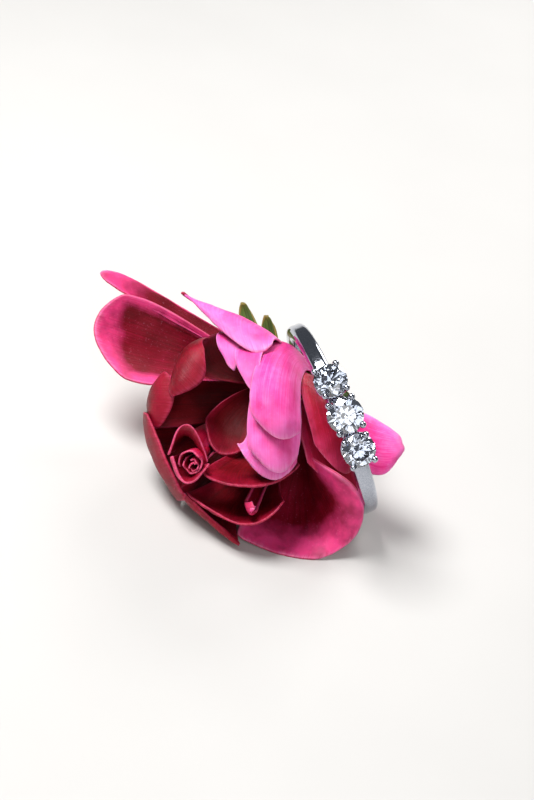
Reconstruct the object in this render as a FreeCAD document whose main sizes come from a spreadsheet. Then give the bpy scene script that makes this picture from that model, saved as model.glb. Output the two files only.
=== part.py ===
import FreeCAD, Part
import math
import os
import Sketcher

# A full pink bloom lying on its side, with a three-stone ring slipped over its base as a holder.
# Millimetres, +Z up. The bloom rests on its lower petals and the ring stands beside it on its band,
# round the base of the petals. The origin is on the ground, under the middle of the whole object.
# The bloom is drawn in its own frame: X across it, Y up its height, Z out towards the open side.

Vec = FreeCAD.Vector
Turn = FreeCAD.Rotation

DIMENSIONS = (
    ("bloom_roll", 14.5),          # the bloom's own frame, turned about its Z
    ("bloom_tip_back", 53.0),      # and then tipped back about the world's X
    ("petal_thickness", 0.3),
    ("petal_claw_width", 1.3),     # a petal's foot, where it joins the receptacle
    ("sepal_thickness", 0.35),
    ("seat_radius", 2.6),          # the feet stand on this circle about the bloom's axis
    ("receptacle_radius", 2.2),
    ("receptacle_depth", 3.4),
    ("receptacle_foot_radius", 1.3),
    ("receptacle_top_radius", 1.5),
    ("pedicel_radius", 1.0),
    ("pedicel_top_radius", 1.25),
    ("pedicel_length", 2.6),
    ("filament_radius", 0.15),
    ("filament_circle_radius", 0.55),
    ("filament_length", 2.2),
    ("anther_radius", 0.3),
    ("ring_inner_radius", 8.6),    # a finger size of about 17.2 mm
    ("ring_outer_radius", 10.1),
    ("band_width", 1.7),
    ("band_edge_radius", 0.5),
    ("ring_heading", 28.0),        # the ring's axis, turned from the world's X
    ("ring_lean", 25.0),           # and lifted above the ground
    ("ring_roll", -135.0),         # where the middle stone sits round the ring
    ("stone_pitch", 17.0),         # degrees from one stone to the next, round the ring
    ("girdle_height", 12.3),       # the girdle planes, from the ring's axis
    ("middle_stone_radius", 1.8),
    ("side_stone_radius", 1.65),
    ("claw_foot_radius", 0.36),
    ("claw_tip_radius", 0.24),
    ("claw_bead_radius", 0.34),
    ("basket_wire_radius", 0.24),
)

doc = FreeCAD.newDocument("bloom_ring_holder")
sheet = doc.addObject("Spreadsheet::Sheet", "dimensions")
for row, (alias, value) in enumerate(DIMENSIONS, start=1):
    sheet.set(f"A{row}", alias)
    sheet.set(f"B{row}", str(value))
    sheet.setAlias(f"B{row}", alias)
doc.recompute()


def cell(alias):
    return float(sheet.get(alias))


def unit(vector):
    return vector * (1.0 / vector.Length)


def bind(feature, **cells):
    for name, expression in cells.items():
        feature.setExpression(name, expression)


# Where the bloom's own frame and the ring's own frame lie in the world.
bloom_turn = Turn(Vec(1, 0, 0), cell("bloom_tip_back")) * Turn(Vec(0, 0, 1), cell("bloom_roll"))
ring_turn = (Turn(Vec(0, 0, 1), cell("ring_heading")) * Turn(Vec(0, 1, 0), 90.0 - cell("ring_lean"))
             * Turn(Vec(0, 0, 1), cell("ring_roll")))
RING_CENTRE_IN_BLOOM = Vec(6.45, -1.87, 0.0)
BLOOM_PLACE = FreeCAD.Placement(Vec(0, 0, 0), bloom_turn)
RING_PLACE = FreeCAD.Placement(bloom_turn.multVec(RING_CENTRE_IN_BLOOM), ring_turn)

# The receptacle, in the bloom's frame: its middle, and the axis from the stem to the open mouth.
RECEPTACLE = Vec(4.0, 0.5, -3.5)
AXIS = unit(Vec(-0.63, -0.2, 0.75))
RIGHT = unit(Vec(1, 0, 0) - AXIS * AXIS.x)
UPPER = AXIS.cross(RIGHT)
AXIS_TURN = Turn(RIGHT, UPPER, AXIS, "ZXY")


# ---------------------------------------------------------------- petals and sepals

BLADE_ROWS = 11
BLADE_COLUMNS = 9
DEGREE = 3
PETAL_SHARE = 0.80     # of the width between the rim lines that a petal's blade fills
SEPAL_SHARE = 0.95
SEAT_TAPER = 0.10      # how much the feet's circle narrows for each millimetre over the middle


def knots(poles):
    """The knots and their multiplicities of a cubic with clamped ends."""
    spans = poles - DEGREE
    return list(range(spans + 1)), [DEGREE + 1] + [1] * (spans - 1) + [DEGREE + 1]


def smooth_face(grid):
    along, along_counts = knots(len(grid))
    over, over_counts = knots(len(grid[0]))
    surface = Part.BSplineSurface()
    surface.buildFromPolesMultsKnots(grid, along_counts, over_counts, along, over, False, False,
                                     DEGREE, DEGREE)
    return surface.toShape()


def rim_face(inner_line, outer_line):
    """The narrow edge of a blade, straight across its thickness."""
    along, counts = knots(len(inner_line))
    surface = Part.BSplineSurface()
    surface.buildFromPolesMultsKnots(list(zip(inner_line, outer_line)), counts, [2, 2], along, [0, 1],
                                     False, False, DEGREE, 1)
    return surface.toShape()


def through(points, t):
    """A smooth line through four points, evenly spaced in t from 0 to 1."""
    a, b, c, d = points
    return (a * ((1 - 3 * t) * (2 - 3 * t) * (1 - t) / 2) + b * (9 * t * (2 - 3 * t) * (1 - t) / 2)
            + c * (9 * t * (3 * t - 1) * (1 - t) / 2) + d * (t * (3 * t - 1) * (3 * t - 2) / 2))


class Leaf:
    """A petal or sepal: a curved blade drawn by three lines from its foot to its end, which are one
    rim, the middle and the other rim. Each line is three points after the foot."""

    def __init__(self, seat, first, middle, last, rounded=0.10):
        angle, lift = seat
        around = math.radians(angle)
        out = RIGHT * math.cos(around) + UPPER * math.sin(around)
        foot = RECEPTACLE + out * (cell("seat_radius") * (1 - SEAT_TAPER * max(lift, 0))) + AXIS * lift
        half_claw = AXIS.cross(out) * (cell("petal_claw_width") / 2)
        self.lines = []
        for start, line in ((foot - half_claw, first), (foot, middle), (foot + half_claw, last)):
            self.lines.append([start] + [Vec(*point) for point in line])
        self.rounded = rounded

    def point(self, along, over):
        """A point of the blade: along runs from foot to end, over runs from rim to rim, -1 to 1."""
        corner = 1 - math.sqrt(1 - over * over)
        level = along * (1 - self.rounded * along ** 2 * corner)
        first, middle, last = [through(line, level) for line in self.lines]
        return (first * (over * (over - 1) / 2) + middle * (1 - over * over)
                + last * (over * (over + 1) / 2))

    def normal(self, along, over):
        step = 0.01
        low, high = max(along - step, 0.0), min(along + step, 1.0)
        lengthwise = self.point(high, over) - self.point(low, over)
        sideways = self.point(along, over + step) - self.point(along, over - step)
        return unit(lengthwise.cross(sideways))

    def grid(self, offset, share):
        """Control points of one face of the blade, which lies that far from its middle surface."""
        lines = []
        for row in range(BLADE_ROWS):
            along = row / (BLADE_ROWS - 1)
            line = []
            for column in range(BLADE_COLUMNS):
                over = share * (2 * column / (BLADE_COLUMNS - 1) - 1)
                line.append(self.point(along, over) + self.normal(along, over) * offset)
            lines.append(line)
        return lines

    def solid(self, thickness, share):
        inner = self.grid(thickness / 2, share)
        outer = self.grid(-thickness / 2, share)
        faces = [smooth_face(inner), smooth_face(outer)]
        for row in (0, -1):
            faces.append(rim_face(inner[row], outer[row]))
        for column in (0, -1):
            faces.append(rim_face([line[column] for line in inner], [line[column] for line in outer]))
        shell = Part.makeShell(faces)
        shell.sewShape()
        blade = Part.makeSolid(shell)
        if blade.Volume < 0:
            blade.reverse()
        return blade


# Seat: angle about the bloom's axis (0 to the right, 90 up) and lift above the receptacle's middle.
PETALS = {
    "hood_petal_outer": Leaf((45, 0.1),
                             ((3.7, 2.8, 2.4), (3.2, 0.2, 7.0), (3.1, -3.4, 8.3)),
                             ((2.3, 4.6, 3.2), (1.0, 1.4, 9.2), (1.0, -3.6, 10.3)),
                             ((0.6, 5.6, 3.0), (-1.4, 1.9, 8.0), (-1.2, -1.6, 9.6)), rounded=0.04),
    "hood_petal_middle": Leaf((12, 1.1),
                              ((3.6, 1.9, 1.5), (3.2, -1.0, 5.8), (3.0, -5.8, 6.9)),
                              ((2.1, 3.7, 2.4), (0.9, -0.4, 8.0), (0.9, -6.9, 8.9)),
                              ((0.5, 4.6, 2.2), (-1.6, -0.2, 7.0), (-1.7, -4.9, 8.3)), rounded=0.04),
    "hood_petal_inner": Leaf((65, 1.3),
                             ((3.3, 1.5, 1.2), (3.0, -2.4, 4.6), (2.9, -6.4, 5.6)),
                             ((1.5, 3.0, 1.6), (0.6, -2.0, 6.6), (0.0, -7.5, 7.5)),
                             ((-0.1, 3.4, 2.0), (-1.5, -1.7, 5.6), (-3.1, -4.1, 7.1)), rounded=0.03),
    "crown_petal": Leaf((85, -0.3),
                        ((3.3, 3.8, -1.5), (1.4, 5.7, 2.6), (0.5, 5.0, 5.8)),
                        ((1.8, 4.8, -1.8), (-2.5, 8.2, 1.4), (-2.4, 5.2, 5.2)),
                        ((-0.5, 5.5, -2.0), (-6.8, 9.4, 0.5), (-7.8, 10.4, 1.0)), rounded=0.05),
    "crown_curl_left": Leaf((126, 1.0),
                            ((-0.5, 5.2, -1.0), (-2.3, 6.0, 2.6), (-3.0, 3.4, 4.8)),
                            ((-1.2, 5.5, -1.0), (-3.4, 6.4, 2.6), (-3.3, 2.9, 4.9)),
                            ((-1.9, 5.8, -1.0), (-4.7, 6.6, 2.2), (-4.0, 4.0, 4.4)), rounded=0.03),
    "crown_curl_right": Leaf((102, 1.5),
                             ((1.5, 4.2, 0.0), (-0.2, 4.9, 5.0), (-0.5, 0.5, 7.0)),
                             ((0.3, 4.8, 0.0), (-1.5, 5.2, 4.3), (-1.3, 0.7, 7.1)),
                             ((-0.8, 5.2, 0.2), (-2.9, 5.2, 3.8), (-2.3, 1.9, 6.4))),
    "left_upper_petal": Leaf((145, 0.3),
                             ((-3.3, 5.4, -3.0), (-6.1, 6.1, 2.0), (-5.7, 3.9, 5.0)),
                             ((-4.8, 4.9, -4.0), (-8.3, 4.8, 2.5), (-6.3, 1.9, 5.4)),
                             ((-6.3, 2.8, -4.0), (-9.4, 1.7, 2.4), (-8.8, -0.2, 4.9))),
    "left_side_petal": Leaf((178, 0.2),
                            ((-6.8, 1.9, -3.5), (-10.2, 2.2, 1.0), (-9.3, 3.1, 3.8)),
                            ((-7.8, 0.0, -4.0), (-11.7, 0.3, 1.0), (-9.1, 0.5, 4.3)),
                            ((-7.3, -2.5, -3.5), (-11.4, -2.8, 0.9), (-9.4, -2.8, 3.6))),
    "bud_petal_upper": Leaf((197, 1.5),
                            ((-4.2, -2.5, -1.0), (-6.1, -5.4, 3.5), (-5.7, -5.9, 6.0)),
                            ((-4.7, -1.8, -1.4), (-7.6, -3.3, 3.0), (-7.6, -2.4, 6.3)),
                            ((-5.5, -2.5, -1.0), (-9.0, -4.9, 3.0), (-9.5, -4.9, 5.6)), rounded=0.03),
    "bud_petal_lower": Leaf((240, 1.8),
                            ((-3.9, -3.2, -1.0), (-8.2, -5.1, 3.2), (-9.0, -5.4, 6.0)),
                            ((-3.5, -4.0, -1.4), (-7.4, -6.6, 2.6), (-7.9, -8.0, 6.5)),
                            ((-2.7, -3.8, -1.0), (-5.9, -5.7, 3.2), (-5.4, -6.2, 6.7)), rounded=0.02),
    "heart_petal_right": Leaf((45, 2.1),
                              ((1.6, 2.2, -0.5), (-0.6, 3.7, 0.2), (-1.4, 5.4, 1.6)),
                              ((0.2, 1.8, -1.0), (-3.6, 3.4, -0.8), (-4.4, 6.6, 1.2)),
                              ((-1.2, 1.6, -0.8), (-6.1, 2.4, -0.6), (-7.2, 5.4, 1.2))),
    "heart_petal_left": Leaf((145, 1.8),
                             ((-2.6, 0.9, -1.2), (-5.0, -0.6, 0.2), (-6.3, -2.3, 2.0)),
                             ((-1.8, 0.0, -1.6), (-3.9, -2.4, 0.0), (-5.2, -4.9, 2.6)),
                             ((-0.8, -0.8, -1.2), (-1.8, -3.2, 0.4), (-2.6, -5.5, 2.8))),
    "left_outer_petal": Leaf((203, -0.6),
                             ((-7.3, -1.5, -4.5), (-11.7, -1.3, -0.5), (-11.4, -1.6, 3.6)),
                             ((-6.3, -4.1, -5.0), (-11.1, -5.4, -0.7), (-10.2, -5.0, 4.5)),
                             ((-5.3, -7.1, -4.5), (-8.7, -9.6, 0.0), (-7.5, -9.4, 5.2)), rounded=0.03),
    "lower_left_petal": Leaf((247, -0.6),
                             ((-4.6, -6.1, -3.9), (-8.4, -8.6, 0.7), (-8.9, -8.3, 4.2)),
                             ((-3.6, -7.2, -4.0), (-6.0, -11.1, 1.5), (-5.8, -11.2, 4.8)),
                             ((-2.2, -7.8, -3.3), (-3.0, -12.9, 2.6), (-2.8, -13.8, 4.2)), rounded=0.03),
    "dividing_petal": Leaf((280, 0.8),
                           ((-0.5, -4.0, -1.0), (-5.1, -6.1, 3.5), (-6.0, -7.7, 7.0)),
                           ((0.8, -4.5, -1.5), (-1.7, -6.7, 3.0), (-1.7, -8.4, 7.8)),
                           ((2.3, -4.0, -1.0), (2.8, -5.7, 3.0), (3.4, -7.2, 7.0))),
    "lower_middle_petal": Leaf((262, 0.1),
                               ((-1.2, -5.6, -3.0), (-6.2, -8.5, 1.0), (-7.7, -8.6, 5.3)),
                               ((0.3, -6.6, -3.5), (-2.4, -10.4, 1.5), (-2.6, -12.0, 7.0)),
                               ((1.8, -6.3, -3.0), (1.3, -9.0, 2.0), (2.0, -9.9, 7.3))),
    "curled_petal": Leaf((292, 0.2),
                         ((0.6, -5.0, -1.5), (-1.7, -9.0, 4.0), (-2.2, -9.6, 7.4)),
                         ((1.2, -5.4, -1.8), (-1.2, -9.8, 3.8), (-1.9, -10.9, 8.2)),
                         ((1.9, -5.2, -1.5), (-0.6, -9.8, 4.0), (-0.9, -11.0, 7.8))),
    "lip_petal": Leaf((300, -0.6),
                      ((0.8, -7.0, -2.0), (-1.8, -10.7, 1.5), (-2.6, -13.2, 4.0)),
                      ((3.9, -7.1, -3.0), (4.3, -11.5, -0.5), (4.6, -15.2, 3.2)),
                      ((3.9, -5.6, 3.0), (7.4, -8.2, 6.0), (10.3, -13.3, 2.6)), rounded=0.05),
    "right_back_petal": Leaf((0, -0.3),
                             ((7.0, -0.5, 1.5), (8.2, -4.0, 3.0), (8.4, -6.5, 3.0)),
                             ((5.5, 1.0, 3.0), (6.6, -2.9, 5.0), (7.3, -7.1, 4.4)),
                             ((3.4, 2.4, 3.4), (3.7, -0.8, 5.4), (4.7, -4.7, 5.6)), rounded=0.05),
    "right_lower_petal": Leaf((325, -0.2),
                              ((7.8, -3.9, 0.5), (8.8, -7.2, 1.0), (9.1, -8.9, 0.6)),
                              ((5.6, -2.4, 1.4), (6.4, -5.9, 2.0), (7.2, -8.7, 1.2)),
                              ((3.2, -0.3, 2.6), (3.3, -3.6, 4.2), (4.0, -6.2, 3.6)), rounded=0.03),
    "threaded_petal": Leaf((345, -0.8),
                           ((8.3, -5.5, 0.0), (10.9, -7.3, 3.0), (12.6, -5.7, 3.2)),
                           ((8.5, -3.5, 0.6), (11.4, -4.7, 3.6), (13.4, -4.6, 3.2)),
                           ((8.3, -0.8, 0.0), (11.2, -2.2, 1.8), (12.9, -3.9, 2.6)), rounded=0.03),
    "guard_petal": Leaf((174, -0.9),
                        ((-4.3, 5.6, -5.9), (-10.5, 9.4, -4.6), (-15.9, 10.6, -2.4)),
                        ((-4.0, 3.3, -6.4), (-11.4, 5.3, -5.2), (-17.4, 7.3, -1.8)),
                        ((-3.8, 1.6, -5.5), (-10.3, 1.5, -2.8), (-15.6, 2.8, -0.6))),
    "guard_petal_upper": Leaf((128, -1.1),
                              ((-3.3, 6.4, -6.7), (-9.9, 10.2, -5.2), (-15.9, 13.4, -3.2)),
                              ((-3.6, 5.7, -6.6), (-10.5, 9.8, -4.9), (-16.9, 12.8, -2.8)),
                              ((-3.8, 4.9, -6.2), (-11.1, 8.9, -4.7), (-15.6, 11.4, -2.6))),
}
SEPALS = {
    "sepal_rear": Leaf((150, -1.9),
                       ((1.4, 2.8, -7.8), (-0.6, 6.8, -9.7), (-2.4, 10.1, -10.0)),
                       ((0.4, 2.4, -8.0), (-1.6, 6.6, -9.9), (-2.5, 10.1, -10.0)),
                       ((-0.6, 2.0, -7.8), (-2.6, 6.3, -9.7), (-2.6, 10.0, -10.0)), rounded=0.0),
    "sepal_upper": Leaf((88, -0.9),
                        ((1.9, 4.3, -5.1), (1.0, 6.6, -5.5), (-0.1, 8.6, -5.3)),
                        ((1.3, 4.4, -5.1), (0.3, 6.6, -5.6), (-0.1, 8.6, -5.2)),
                        ((0.4, 4.3, -4.9), (-0.6, 6.6, -5.4), (-0.2, 8.6, -5.2)), rounded=0.0),
    "sepal_right": Leaf((0, -1.7),
                        ((7.7, -0.5, -4.6), (8.5, -1.5, -5.6), (9.3, -2.5, -5.9)),
                        ((8.0, 0.2, -4.6), (8.8, -0.9, -5.7), (9.4, -2.4, -5.9)),
                        ((7.9, 1.0, -4.5), (9.0, -0.1, -5.5), (9.5, -2.3, -5.9)), rounded=0.0),
    "sepal_lower": Leaf((285, -1.7),
                        ((3.9, -2.8, -6.6), (4.5, -4.6, -7.2), (6.1, -6.8, -6.6)),
                        ((4.8, -2.8, -6.6), (5.4, -4.6, -7.2), (6.2, -6.8, -6.6)),
                        ((5.7, -2.8, -6.1), (6.3, -4.6, -6.7), (6.3, -6.8, -6.6)), rounded=0.0),
    "sepal_left": Leaf((215, -1.7),
                       ((0.9, -0.9, -8.0), (-1.0, -2.0, -8.8), (-3.6, -3.7, -8.8)),
                       ((0.5, -1.7, -8.1), (-1.4, -2.8, -8.9), (-3.6, -3.8, -8.8)),
                       ((0.1, -2.6, -7.8), (-1.8, -3.7, -8.6), (-3.6, -3.9, -8.8)), rounded=0.0),
}

nodes = []


def keep(feature, label, place):
    """Names a finished piece and puts it where its frame lies."""
    feature.Label = label
    feature.Placement = place
    nodes.append(feature)


for leaves, thickness, share in ((PETALS, cell("petal_thickness"), PETAL_SHARE),
                                 (SEPALS, cell("sepal_thickness"), SEPAL_SHARE)):
    for name, leaf in leaves.items():
        blade = doc.addObject("Part::Feature", name)
        blade.Shape = leaf.solid(thickness, share)
        keep(blade, name, BLOOM_PLACE)


# ---------------------------------------------------------------- receptacle, stem and stamens

BASE_SHARE = 0.45     # how much of the receptacle's depth is the cup under the petals
TOP_SHARE = 0.25      # and how much is the dome over them
UNDER_SHARE = 0.60    # how much of it lies behind the receptacle's middle

receptacle_place = FreeCAD.Placement(RECEPTACLE, AXIS_TURN)


def cone(name, low, high, height, base):
    feature = doc.addObject("Part::Cone", name)
    bind(feature, Radius1=low, Radius2=high, Height=height)
    feature.Placement = FreeCAD.Placement(Vec(0, 0, base), Turn())
    return feature


depth = cell("receptacle_depth")
cup_base = -depth * UNDER_SHARE
middle_share = 1 - BASE_SHARE - TOP_SHARE
cup = cone("receptacle_cup", "dimensions.receptacle_foot_radius", "dimensions.receptacle_radius",
           f"dimensions.receptacle_depth * {BASE_SHARE}", cup_base)
wall = doc.addObject("Part::Cylinder", "receptacle_wall")
bind(wall, Radius="dimensions.receptacle_radius", Height=f"dimensions.receptacle_depth * {middle_share}")
wall.Placement = FreeCAD.Placement(Vec(0, 0, cup_base + depth * BASE_SHARE), Turn())
dome = cone("receptacle_dome", "dimensions.receptacle_radius", "dimensions.receptacle_top_radius",
            f"dimensions.receptacle_depth * {TOP_SHARE}", cup_base + depth * (1 - TOP_SHARE))
receptacle = doc.addObject("Part::MultiFuse", "receptacle_body")
receptacle.Shapes = [cup, wall, dome]
keep(receptacle, "receptacle", BLOOM_PLACE * receptacle_place)

pedicel = cone("pedicel_stem", "dimensions.pedicel_radius", "dimensions.pedicel_top_radius",
               "dimensions.pedicel_length", 0)
pedicel_place = FreeCAD.Placement(Vec(0, 0, cup_base - cell("pedicel_length")), Turn())
keep(pedicel, "pedicel", BLOOM_PLACE * receptacle_place * pedicel_place)

FILAMENTS = 6
dome_top = cup_base + depth
stamens = []
for index in range(FILAMENTS):
    place = FreeCAD.Placement(Vec(0, 0, 0), Turn(Vec(0, 0, 1), index * 360 / FILAMENTS))
    start = Vec(cell("filament_circle_radius"), 0, dome_top)
    length = cell("filament_length")
    filament = Part.makeCylinder(cell("filament_radius"), length, start)
    anther = Part.makeSphere(cell("anther_radius"), start + Vec(0, 0, length))
    stamen = filament.fuse(anther)
    stamen.Placement = place
    stamens.append(stamen)
stamen_group = doc.addObject("Part::Feature", "stamen_group")
stamen_group.Shape = Part.makeCompound(stamens)
keep(stamen_group, "stamens", BLOOM_PLACE * receptacle_place)


# ---------------------------------------------------------------- the ring's band

band = doc.addObject("PartDesign::Body", "band")
profile = band.newObject("Sketcher::SketchObject", "band_section")
for plane in band.Origin.OriginFeatures:
    if plane.Role == "XZ_Plane":
        profile.AttachmentSupport = [(plane, "")]
profile.MapMode = "FlatFace"
inner, outer, half = cell("ring_inner_radius"), cell("ring_outer_radius"), cell("band_width") / 2
corners = [Vec(inner, -half), Vec(outer, -half), Vec(outer, half), Vec(inner, half)]
for index, corner in enumerate(corners):
    profile.addGeometry(Part.LineSegment(corner, corners[(index + 1) % 4]), False)
for index in range(4):
    profile.addConstraint(Sketcher.Constraint("Coincident", index, 2, (index + 1) % 4, 1))
for index, direction in enumerate(("Horizontal", "Vertical", "Horizontal", "Vertical")):
    profile.addConstraint(Sketcher.Constraint(direction, index))
SECTION = (
    ("inner_side", ("DistanceX", -1, 1, 3, 1, inner), "dimensions.ring_inner_radius"),
    ("outer_side", ("DistanceX", -1, 1, 1, 1, outer), "dimensions.ring_outer_radius"),
    ("upper_side", ("DistanceY", -1, 1, 2, 1, half), "dimensions.band_width / 2"),
    ("lower_side", ("DistanceY", 0, 1, -1, 1, half), "dimensions.band_width / 2"),
)
for name, values, expression in SECTION:
    number = profile.addConstraint(Sketcher.Constraint(*values))
    profile.renameConstraint(number, name)
    profile.setExpression(f"Constraints.{name}", expression)
revolution = band.newObject("PartDesign::Revolution", "band_turned")
revolution.Profile = profile
revolution.ReferenceAxis = (profile, ["V_Axis"])
revolution.Angle = 360.0
doc.recompute()
rounded = band.newObject("PartDesign::Fillet", "band_edges")
rounded.Base = (revolution, [f"Edge{number + 1}" for number in range(len(revolution.Shape.Edges))
                             if revolution.Shape.Edges[number].Curve.TypeId == "Part::GeomCircle"])
rounded.setExpression("Radius", "dimensions.band_edge_radius")
doc.recompute()
keep(band, "ring_band", RING_PLACE)


# ---------------------------------------------------------------- the three brilliants

CROWN_ANGLE = math.radians(34.5)
PAVILION_ANGLE = math.radians(40.75)
TABLE_SHARE = 0.56
STAR_SHARE = 0.78
LOWER_HALF_SHARE = 0.23
GIRDLE_SHARE = 0.03


def brilliant(radius):
    """A round brilliant: table, stars, kites and upper halves over the girdle, lower halves and
    mains under it, with the girdle's lower edge at height 0 and the table up +Z."""
    girdle = 2 * radius * GIRDLE_SHARE

    def at(share, eighths, height):
        angle = math.radians(45 * eighths)
        return Vec(share * radius * math.cos(angle), share * radius * math.sin(angle), height)

    crown_slope = math.tan(CROWN_ANGLE)
    pavilion_slope = math.tan(PAVILION_ANGLE)
    half_step = math.cos(math.radians(22.5))
    table = [at(TABLE_SHARE, k, girdle + (1 - TABLE_SHARE) * radius * crown_slope) for k in range(8)]
    star_height = girdle + (1 - STAR_SHARE * half_step) * radius * crown_slope
    stars = [at(STAR_SHARE, k + 0.5, star_height) for k in range(8)]
    rim = [at(1, k / 2, girdle) for k in range(16)]
    under = [at(1, k / 2, 0) for k in range(16)]
    lower_height = -(1 - LOWER_HALF_SHARE * half_step) * radius * pavilion_slope
    lower = [at(LOWER_HALF_SHARE, k + 0.5, lower_height) for k in range(8)]
    culet = Vec(0, 0, -radius * pavilion_slope)
    outlines = [table]
    for k in range(8):
        after = (k + 1) % 8
        outlines.append([table[k], stars[k], table[after]])
        outlines.append([rim[2 * k], rim[2 * k + 1], stars[k]])
        outlines.append([rim[2 * k + 1], rim[(2 * k + 2) % 16], stars[k]])
        outlines.append([table[k], stars[k - 1], rim[2 * k]])
        outlines.append([table[k], rim[2 * k], stars[k]])
        outlines.append([under[2 * k + 1], under[2 * k], lower[k]])
        outlines.append([under[(2 * k + 2) % 16], under[2 * k + 1], lower[k]])
        outlines.append([under[2 * k], lower[k - 1], culet])
        outlines.append([under[2 * k], culet, lower[k]])
    for k in range(16):
        after = (k + 1) % 16
        outlines.append([under[k], under[after], rim[after], rim[k]])
    facets = []
    for outline in outlines:
        facets.append(Part.Face(Part.makePolygon(outline + outline[:1])))
    shell = Part.makeShell(facets)
    shell.sewShape()
    stone = Part.makeSolid(shell)
    if stone.Volume < 0:
        stone.reverse()
    return stone


# ---------------------------------------------------------------- claw settings

STONES = (
    ("upper", -1, "side_stone_radius"),
    ("middle", 0, "middle_stone_radius"),
    ("lower", 1, "side_stone_radius"),
)
CLAW_ANGLES = (40, 140, 220, 320)     # about the stone, from the line of the three stones
CLAW_FOOT_SHARE = 0.55                # of the stone's radius
BASKET_DROP = 1.05                    # the basket's wire, under the girdle
CLAW_SINK = 0.35                      # how far a claw's foot reaches into the band before it is trimmed
BEAD_OUT = 0.06                       # a claw's bead, outside the girdle
BEAD_UP = 0.22                        # and over the girdle's lower edge

band_blank = doc.addObject("Part::Cylinder", "band_blank")
bind(band_blank, Radius="dimensions.ring_outer_radius", Height="dimensions.band_width * 2")
band_blank.Placement = FreeCAD.Placement(Vec(0, 0, -cell("band_width")), Turn())

for position, step, radius_cell in STONES:
    radius = cell(radius_cell)
    around = Turn(Vec(0, 0, 1), step * cell("stone_pitch"))
    table_out = Turn(Vec(0, 1, 0), 90)
    seat = FreeCAD.Placement(around.multVec(Vec(cell("girdle_height"), 0, 0)), around * table_out)
    stone_blank = doc.addObject("Part::Feature", f"{position}_stone_blank")
    stone_blank.Shape = brilliant(radius)
    stone_blank.Placement = seat

    foot_drop = cell("girdle_height") - cell("ring_outer_radius") + CLAW_SINK
    pieces = []
    for angle in CLAW_ANGLES:
        spin = Turn(Vec(0, 0, 1), angle + 90)
        foot = spin.multVec(Vec(radius * CLAW_FOOT_SHARE, 0, -foot_drop))
        bead_point = spin.multVec(Vec(radius + BEAD_OUT, 0, BEAD_UP))
        shaft = bead_point - foot
        claw = doc.addObject("Part::Cone", f"{position}_claw")
        bind(claw, Radius1="dimensions.claw_foot_radius", Radius2="dimensions.claw_tip_radius")
        claw.Height = shaft.Length
        claw.Placement = seat * FreeCAD.Placement(foot, Turn(Vec(0, 0, 1), shaft))
        bead = doc.addObject("Part::Sphere", f"{position}_bead")
        bind(bead, Radius="dimensions.claw_bead_radius")
        bead.Placement = seat * FreeCAD.Placement(bead_point, Turn())
        pieces += [claw, bead]
    basket = doc.addObject("Part::Torus", f"{position}_basket")
    basket.Radius1 = radius * (1 - (1 - CLAW_FOOT_SHARE) * BASKET_DROP / foot_drop)
    bind(basket, Radius2="dimensions.basket_wire_radius")
    basket.Placement = seat * FreeCAD.Placement(Vec(0, 0, -BASKET_DROP), Turn())
    head = doc.addObject("Part::MultiFuse", f"{position}_head")
    head.Shapes = pieces + [basket]
    on_band = doc.addObject("Part::Cut", f"{position}_head_on_band")
    on_band.Base = head
    on_band.Tool = band_blank
    seated = doc.addObject("Part::Cut", f"{position}_head_seated")
    seated.Base = on_band
    seated.Tool = stone_blank
    keep(seated, f"{position}_claw_setting", RING_PLACE)

    stone = doc.addObject("Part::Feature", f"{position}_stone")
    stone.Shape = brilliant(radius)
    keep(stone, f"{position}_diamond", RING_PLACE * seat)


# ---------------------------------------------------------------- onto the ground, checks and files

doc.recompute()
whole = FreeCAD.BoundBox()
for node in nodes:
    whole.add(node.Shape.optimalBoundingBox(False))
to_origin = FreeCAD.Placement(Vec(-whole.Center.x, -whole.Center.y, -whole.ZMin), Turn())
for node in nodes:
    node.Placement = to_origin * node.Placement
doc.recompute()

for item in doc.Objects:
    if "Invalid" in item.State or "Error" in item.State:
        raise RuntimeError(f"{item.Label} failed: {item.State}")
faulty = [node.Label for node in nodes if node.Shape.isNull() or not node.Shape.isValid()]
if faulty:
    raise RuntimeError(f"no valid shape: {faulty}")

os.makedirs("parts", exist_ok=True)
for node in nodes:
    node.Shape.exportStep(os.path.join("parts", f"{node.Label}.step"))
print(f"{len(nodes)} nodes, box {whole.XLength:.2f} x {whole.YLength:.2f} x {whole.ZLength:.2f} mm")
print(f"ring centre {to_origin.multVec(RING_PLACE.Base)}, axis {ring_turn.multVec(Vec(0, 0, 1))}")
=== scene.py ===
import math

import bmesh
import bpy
from mathutils import Matrix, Vector, noise


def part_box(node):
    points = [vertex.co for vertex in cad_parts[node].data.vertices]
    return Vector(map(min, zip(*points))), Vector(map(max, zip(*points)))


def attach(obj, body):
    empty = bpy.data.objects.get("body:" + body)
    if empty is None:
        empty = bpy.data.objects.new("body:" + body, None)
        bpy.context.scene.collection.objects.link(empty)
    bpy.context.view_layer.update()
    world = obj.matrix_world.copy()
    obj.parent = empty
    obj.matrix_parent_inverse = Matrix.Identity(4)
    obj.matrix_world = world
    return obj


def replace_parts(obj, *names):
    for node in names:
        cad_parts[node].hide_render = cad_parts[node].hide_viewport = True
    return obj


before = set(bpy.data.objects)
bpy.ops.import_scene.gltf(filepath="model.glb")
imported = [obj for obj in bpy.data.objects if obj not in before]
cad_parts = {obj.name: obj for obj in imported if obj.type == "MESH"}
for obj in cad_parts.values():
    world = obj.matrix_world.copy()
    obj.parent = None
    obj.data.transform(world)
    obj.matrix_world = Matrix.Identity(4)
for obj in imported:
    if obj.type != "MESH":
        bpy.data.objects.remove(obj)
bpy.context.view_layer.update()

# A pink double bloom lying on its side, with a three-stone ring slipped over the foot of its petals.
# The bloom is shaped in its own frame, in millimetres: X across it, Y up its height and Z out
# towards its open side. BLOOM_PLACE carries that frame into the model's, in metres.

MM = 0.001


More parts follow.
